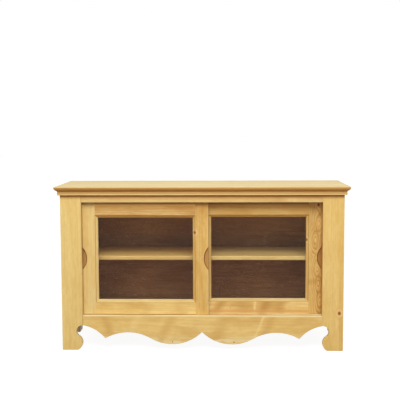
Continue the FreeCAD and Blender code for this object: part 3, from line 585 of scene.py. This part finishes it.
class Board:
    """A board of pine: its look, its material, and where a point lies along the grain, across the face and
    into the wood."""

    def __init__(self, name, slot):
        self.name = name
        self.look = board_look(name, slot)
        self.seed = random.Random(f"{name} seed").uniform(*NOISE_SHIFT)
        self.material, self.graph = new_material(f"{slot}.{name}")
        self.place = self.graph.place()
        axes = grain_axes(name)
        self.along, self.across, self.depth = (self.place.outputs[axis] for axis in axes)
        self.low, self.high = ([corner["XYZ".index(axis)] for axis in axes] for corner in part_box(name))
        self.middle = [(least + most) / 2 for least, most in zip(self.low, self.high)]
        tone = self.look["tone"]
        self.honey = linear(*tone)
        self.pale = linear(*(level + step for level, step in zip(tone, PALE_STEP)))
        self.deep = linear(*(level + step for level, step in zip(tone, self.look["deep"])))
        self.sway = self.graph.math("SUBTRACT", self.noise("sway"), NOISE_MIDDLE)
        self.ripple = self.graph.math("SUBTRACT", self.noise("ripple"), NOISE_MIDDLE)
        self.breaks = self.patches("breaks")
        self.fibres = self.noise("fibres")
        self.knot = self.knot_distance()
        self.eye = self.spot_distance(self.look["eyes"], EYE_STRETCH)
        self.radius = self.ring_radius()
        self.late_wood = self.ring_ends()

    def noise(self, kind):
        along_waves, cross_waves, octaves, roughness = NOISES[kind]
        point = self.graph.vector(
            self.graph.math("MULTIPLY_ADD", self.along, along_waves, self.seed),
            self.graph.math("MULTIPLY", self.across, cross_waves),
            self.graph.math("MULTIPLY", self.depth, cross_waves),
        )
        return self.graph.noise(point, octaves, roughness)

    def patches(self, kind, strength=1.0):
        return self.graph.ramp(self.noise(kind), *LEVELS[kind], 0.0, strength)

    def spot_distance(self, spots, stretch):
        """How far the nearest of these spots is, in spot radii; each is longer along the grain."""
        graph = self.graph
        nearest = FAR_OFF
        for spot_along, spot_across, radius in spots:
            off_along = graph.math("SUBTRACT", self.along, spot_along)
            off_across = graph.math("SUBTRACT", self.across, spot_across)
            offset = graph.vector(
                graph.math("MULTIPLY", off_along, 1 / (stretch * radius)),
                graph.math("MULTIPLY", off_across, 1 / radius),
                0.0,
            )
            nearest = graph.math("MINIMUM", nearest, graph.length(offset))
        return nearest

    def stray_knots(self):
        """How far the nearest stray knot is, in knot radii. Few cells have one."""
        graph = self.graph
        point = graph.vector(
            graph.math("MULTIPLY_ADD", self.along, 1 / STRAY_LENGTH, self.seed),
            graph.math("MULTIPLY_ADD", self.across, 1 / STRAY_WIDTH, self.seed),
            0.0,
        )
        cells = graph.node("ShaderNodeTexVoronoi", voronoi_dimensions="2D")
        graph.put(point, cells.inputs["Vector"])
        cells.inputs["Scale"].default_value = 1.0
        cells.inputs["Randomness"].default_value = STRAY_SPREAD
        draw = graph.node("ShaderNodeSeparateColor", cells.outputs["Color"])
        size = graph.math("MULTIPLY_ADD", draw.outputs[1], STRAY_MORE, STRAY_LEAST)
        nearest = graph.math("DIVIDE", cells.outputs["Distance"], size)
        absent = graph.math("LESS_THAN", draw.outputs[0], STRAY_RARE)
        return graph.math("MULTIPLY_ADD", absent, FAR_OFF, nearest)

    def knot_distance(self):
        """How far the nearest knot is, in knot radii."""
        knot = self.spot_distance(self.look["knots"], KNOT_STRETCH)
        if self.look["stray"]:
            knot = self.graph.math("MINIMUM", knot, self.stray_knots())
        return knot

    def log_radius(self):
        """Distance from the middle of the log that the board was cut from, which leans along the board."""
        graph = self.graph
        pith_across, pith_behind = self.look["pith"]
        lean_across, lean_behind = self.look["lean"]
        from_middle = graph.math("SUBTRACT", self.along, self.middle[0])
        side = graph.math("ADD", self.across, pith_across - self.middle[1])
        side = graph.math("MULTIPLY_ADD", from_middle, lean_across, side)
        behind = graph.math("ADD", self.depth, pith_behind - self.middle[2])
        behind = graph.math("MULTIPLY_ADD", from_middle, lean_behind, behind)
        return graph.length(graph.vector(0.0, side, behind))

    def ring_radius(self):
        """How far out a point lies among the rings, of the flame round the nearest eye or of the log. Knots
        and eyes push the log's rings aside."""
        graph = self.graph
        if self.look["flame"]:
            radius = graph.math("MULTIPLY", self.eye, self.look["flame"])
            return graph.math("MULTIPLY_ADD", self.ripple, FLAME_RIPPLE, radius)
        radius = graph.math("MULTIPLY_ADD", self.sway, LOG_SWAY, self.log_radius())
        for spot, reach, push in ((self.knot, KNOT_REACH, KNOT_PUSH), (self.eye, EYE_REACH, EYE_PUSH)):
            bulge = graph.ramp(spot, 0.0, reach, 1.0, 0.0)
            radius = graph.math("MULTIPLY_ADD", bulge, push * self.look["ring"], radius)
        return radius

    def ring_ends(self):
        """How far a point lies in the dark late wood that ends each ring, from 0 to 1. In a flame it breaks
        up, and the board's low edge stays plain."""
        graph = self.graph
        rings = graph.math("DIVIDE", self.radius, self.look["ring"])
        phase = graph.math("MULTIPLY_ADD", self.noise("ring_drift"), RING_DRIFT, rings)
        late_wood = graph.math("POWER", graph.math("FRACT", phase), LATE_WOOD_POWER)
        if self.look["flame"]:
            inward = graph.ramp(self.across, self.low[1] + FLAME_FROM, self.low[1] + FLAME_FULL)
            unbroken = graph.math("MULTIPLY_ADD", self.breaks, FLAME_BREAKS, 1 - FLAME_BREAKS)
            late_wood = graph.math("MULTIPLY", late_wood, inward)
            late_wood = graph.math("MULTIPLY", late_wood, unbroken)
        return late_wood

    def wood(self):
        """Paler and honey wood in tides along the rings, with darker mottling and clouds."""
        graph = self.graph
        tide_place = graph.vector(
            graph.math("MULTIPLY_ADD", self.along, TIDE_ALONG, self.seed),
            graph.math("MULTIPLY", self.radius, TIDE_ACROSS),
            self.seed,
        )
        tides = graph.ramp(graph.noise(tide_place, TIDE_OCTAVES, TIDE_ROUGHNESS), *TIDE_LEVELS)
        colour = graph.mix(tides, self.pale, self.honey)
        colour = graph.mix(self.patches("mottling", MOTTLING), colour, self.deep)
        return graph.mix(self.patches("clouds", self.look["clouds"]), colour, self.deep)

    def bands_and_streaks(self, colour):
        """Pale and dark bands over the board, and streaks along it that break up."""
        graph = self.graph
        for place, slant, half_width, strength in self.look["bands"]:
            from_middle = graph.math("SUBTRACT", self.across, self.middle[1])
            off = graph.math("MULTIPLY_ADD", from_middle, -slant, self.along)
            off = graph.math("MULTIPLY_ADD", self.sway, BAND_SWAY, off)
            share = graph.near(off, place, half_width, abs(strength))
            colour = graph.mix(share, colour, self.pale if strength > 0 else self.deep)
        for place, half_width, strength in self.look["streaks"]:
            off = graph.math("MULTIPLY_ADD", self.ripple, STREAK_RIPPLE, self.across)
            off = graph.math("MULTIPLY_ADD", self.sway, STREAK_SWAY, off)
            share = graph.math("MULTIPLY", graph.near(off, place, half_width, abs(strength)), self.breaks)
            colour = graph.mix(share, colour, PALEST_WOOD if strength > 0 else self.deep)
        return colour

    def grain(self, colour):
        """Long grain, the eyes of a flame, late wood, fibres and knots."""
        graph = self.graph
        colour = graph.mix(self.patches("lines", self.look["lines"]), colour, self.deep)
        if self.look["flame"]:
            colour = graph.mix(graph.ramp(self.eye, *EYE_FADE, EYE_STRENGTH, 0.0), colour, EYE)
        colour = graph.mix(graph.math("MULTIPLY", self.late_wood, self.look["contrast"]), colour, self.deep)
        colour = graph.mix(graph.ramp(self.fibres, *LEVELS["fibres"], 0.0, FIBRES), colour, self.deep)
        for shade, full, gone, strength in KNOT_ZONES:
            colour = graph.mix(graph.ramp(self.knot, full, gone, strength, 0.0), colour, shade)
        return colour

    def edges(self, colour):
        """Painted shade along a glazing bead's outer edge; elsewhere pale, rubbed edges, partly a painted
        highlight, or painted shade where the mark is below 0.
        """
        graph = self.graph
        if "_bead_" in self.name:
            side = self.name.split("_bead_")[1]
            outer = self.low[1] if side == "left" else self.high[1]
            return graph.mix(graph.near(self.across, outer, BEAD_SHADE_REACH, BEAD_SHADES[side]), colour, PAINTED_SHADE)
        for edge, strength in zip((self.low[1], self.high[1]), self.look["wear"]):
            edge_tint = graph.near(self.across, edge, EDGE_MARK_REACH, abs(strength))
            edge_tint = graph.math("MULTIPLY", edge_tint, graph.ramp(self.sway, *EDGE_MARK_LEVELS))
            colour = graph.mix(edge_tint, colour, PALEST_WOOD if strength > 0 else PAINTED_SHADE)
        return colour

    def paint_light_and_shade(self, colour):
        """Painted light and shade at the heights given for boards with such a name."""
        for start, painted_marks in PAINTED_LIGHT_AND_SHADE.items():
            if self.name.startswith(start):
                colour = fade(self.graph, self.place, painted_marks, colour)
        return colour

    def scoop(self, colour):
        """The unvarnished wood of a door stile's finger scoop: walls darkened with painted shade, a paler
        floor.
        """
        if "_door_" not in self.name or not self.name.endswith("stile"):
            return colour
        graph = self.graph
        low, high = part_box(self.name)
        outward = -1 if self.name.endswith("left_stile") else 1
        edge = low.x if outward < 0 else high.x
        middle = edge + outward * (SCOOP_RADIUS - SCOOP_REACH)
        across = graph.math("SUBTRACT", self.place.outputs["X"], middle)
        up = graph.math("SUBTRACT", self.place.outputs["Z"], SCOOP_HEIGHT)
        near = graph.math("LESS_THAN", graph.length(graph.vector(across, up, 0.0)), SCOOP_RADIUS)
        sunk = graph.math("SUBTRACT", self.place.outputs["Y"], low.y)
        inside = graph.math("MULTIPLY", near, graph.math("GREATER_THAN", sunk, SCOOP_LIP))
        floor_share = graph.ramp(sunk, SCOOP_WALL_SHARE * SCOOP_SINK, SCOOP_SINK)
        unvarnished_and_shaded = graph.mix(floor_share, SCOOP_WALL, SCOOP_FLOOR)
        return graph.mix(graph.math("MULTIPLY", inside, SCOOP_STRENGTH), colour, unvarnished_and_shaded)


def pine(name, slot):
    """Varnished pine for one board, whose rings and fibres stand out a little."""
    board = Board(name, slot)
    graph = board.graph
    colour = board.grain(board.bands_and_streaks(board.wood()))
    colour = board.scoop(board.paint_light_and_shade(board.edges(colour)))
    relief = graph.math("MULTIPLY_ADD", board.late_wood, RING_RELIEF, board.fibres)
    surface = graph.principled(
        Base_Color=colour,
        Roughness=graph.ramp(board.fibres, *NOISE_RANGE, *VARNISH_ROUGHNESS),
        Specular_IOR_Level=TOP_GLOSS if slot == "pine_top" else GLOSS,
        Normal=graph.bump(relief, RELIEF, RELIEF_HEIGHT),
    )
    graph.node("ShaderNodeOutputMaterial", surface)
    return board.material


def hardboard():
    """Brown board: felted fibres, streaks along it, faint clouds and pale flecks, with painted shade above
    the shelf and the bottom board and painted light near the top.
    """
    material, graph = new_material("hardboard")
    felt = graph.grain_noise(FELT_WAVES, FELT_OCTAVES)
    colour = BOARD_BROWN
    for shade, waves, octaves, levels, strength in BOARD_LAYERS:
        share = graph.ramp(graph.grain_noise(waves, octaves), *levels, 0.0, strength)
        colour = graph.mix(share, colour, shade)
    surface = graph.principled(
        Base_Color=fade(graph, graph.place(), BOARD_LIGHT_AND_SHADE, colour),
        Roughness=graph.ramp(felt, *NOISE_RANGE, *FELT_ROUGHNESS),
        Specular_IOR_Level=FELT_GLOSS,
        Normal=graph.bump(felt, FELT_RELIEF, FELT_HEIGHT),
    )
    graph.node("ShaderNodeOutputMaterial", surface)
    return material


def steel():
    """Zinc plated steel with a fine spangle."""
    material, graph = new_material("steel")
    spangle = graph.grain_noise(SPANGLE_WAVES, SPANGLE_OCTAVES)
    surface = graph.principled(
        Base_Color=graph.mix(spangle, ZINC_DARK, ZINC_PALE),
        Roughness=graph.ramp(spangle, *NOISE_RANGE, *ZINC_ROUGHNESS),
        Metallic=1.0,
    )
    graph.node("ShaderNodeOutputMaterial", surface)
    return material


def glass():
    """Clear glass with the faintest haze and little gloss; the light that falls through it isn't bent."""
    material, graph = new_material("glass")
    haze = graph.grain_noise(HAZE_WAVES, HAZE_OCTAVES)
    pane = graph.principled(
        Base_Color=GLASS_TINT,
        Transmission_Weight=1.0,
        IOR=GLASS_IOR,
        Roughness=graph.ramp(haze, *HAZE_LEVELS, *HAZE_ROUGHNESS),
    )
    clear = graph.node("ShaderNodeBsdfTransparent", GLASS_TINT)
    surface = graph.node("ShaderNodeMixShader", graph.seen_directly(), clear.outputs[0], pane)
    graph.node("ShaderNodeOutputMaterial", surface.outputs[0])
    return material


def arris_of(name):
    if "_bead_" in name:
        return BEAD_ARRIS
    return SHELF_ARRIS if name in ("shelf_left", "shelf_right") else ARRIS


def dress_nodes():
    """Give each CAD node its material and, in wood, softened arrises."""
    shared = {"hardboard": hardboard(), "steel": steel(), "glass": glass()}
    slots = {part["node"]: part["material_slot"] for part in frame["record"]["subparts"]}
    for name, piece in frame["nodes"].items():
        slot = slots[name]
        material = shared.get(slot) or pine(name, slot)
        piece.data.materials.clear()
        piece.data.materials.append(material)
        if slot in TONES:
            weld = piece.modifiers.new("weld", "WELD")
            weld.merge_threshold = WELD_DISTANCE
            bevel = piece.modifiers.new("arris", "BEVEL")
            bevel.width = arris_of(name)
            bevel.segments = ARRIS_SEGMENTS
            bevel.limit_method = "ANGLE"
            bevel.angle_limit = ARRIS_ANGLE
            bevel.harden_normals = True


def camera():
    turn = (
        Matrix.Rotation(CAMERA_YAW, 3, "Z")
        @ Matrix.Rotation(CAMERA_PITCH, 3, "X")
        @ Matrix.Rotation(CAMERA_ROLL, 3, "Y")
    )
    right, forward, up = turn.col
    lens = bpy.data.cameras.new("camera")
    lens.sensor_width = SENSOR_WIDTH
    lens.lens = CAMERA_LENS
    eye = bpy.data.objects.new("camera", lens)
    rotation = Matrix((right, up, -forward)).transposed().to_4x4()
    eye.matrix_world = Matrix.Translation(CAMERA_PLACE) @ rotation
    bpy.context.scene.collection.objects.link(eye)
    bpy.context.scene.camera = eye


def softbox():
    lamp = bpy.data.lights.new("softbox", "AREA")
    lamp.shape = "RECTANGLE"
    lamp.size = KEY_WIDTH
    lamp.size_y = KEY_HEIGHT
    lamp.energy = KEY_WATTS
    lamp.color = KEY_TINT
    box = bpy.data.objects.new("softbox", lamp)
    box.location = KEY_PLACE
    aim = Vector(KEY_TARGET) - Vector(KEY_PLACE)
    box.rotation_euler = aim.to_track_quat("-Z", "Y").to_euler()
    bpy.context.scene.collection.objects.link(box)


def surroundings():
    """White all round to look at; as light, warmer and brighter in front."""
    world = bpy.data.worlds.new("studio")
    world.use_nodes = True
    bpy.context.scene.world = world
    graph = Graph(world.node_tree)
    towards = graph.node("ShaderNodeSeparateXYZ", graph.node("ShaderNodeTexCoord").outputs["Generated"])
    light = graph.math("MULTIPLY_ADD", towards.outputs["Y"], -SURROUND_FRONT, SURROUND)
    shown = graph.seen_directly()
    to_white = graph.math("MULTIPLY", shown, graph.math("SUBTRACT", 1.0, light))
    colour = graph.mix(shown, SURROUND_TINT, WHITE)
    background = graph.node("ShaderNodeBackground", colour, graph.math("ADD", light, to_white))
    graph.node("ShaderNodeOutputWorld", background.outputs[0])


def floor():
    """A pale floor, white to look at apart from the cabinet's light shadow."""
    mesh = bpy.data.meshes.new("floor")
    corners = [(x * FLOOR_HALF, y * FLOOR_HALF, 0) for x, y in ((-1, -1), (1, -1), (1, 1), (-1, 1))]
    mesh.from_pydata(corners, [], [(0, 1, 2, 3)])
    ground = bpy.data.objects.new("floor", mesh)
    ground.location.z = -FLOOR_DROP
    bpy.context.scene.collection.objects.link(ground)
    material, graph = new_material("floor")
    shadow_catch = graph.node("ShaderNodeBsdfDiffuse", FLOOR_GREY)
    glow = graph.node("ShaderNodeEmission", WHITE, FLOOR_GLOW)
    shown = graph.node("ShaderNodeAddShader", shadow_catch.outputs[0], glow.outputs[0])
    bounce = graph.node("ShaderNodeBsdfDiffuse", FLOOR_BOUNCE)
    surface = graph.node("ShaderNodeMixShader", graph.seen_directly(), bounce.outputs[0], shown.outputs[0])
    graph.node("ShaderNodeOutputMaterial", surface.outputs[0])
    mesh.materials.append(material)


dress_nodes()
camera()
surroundings()
softbox()
floor()
bpy.context.scene.view_settings.view_transform = "Standard"
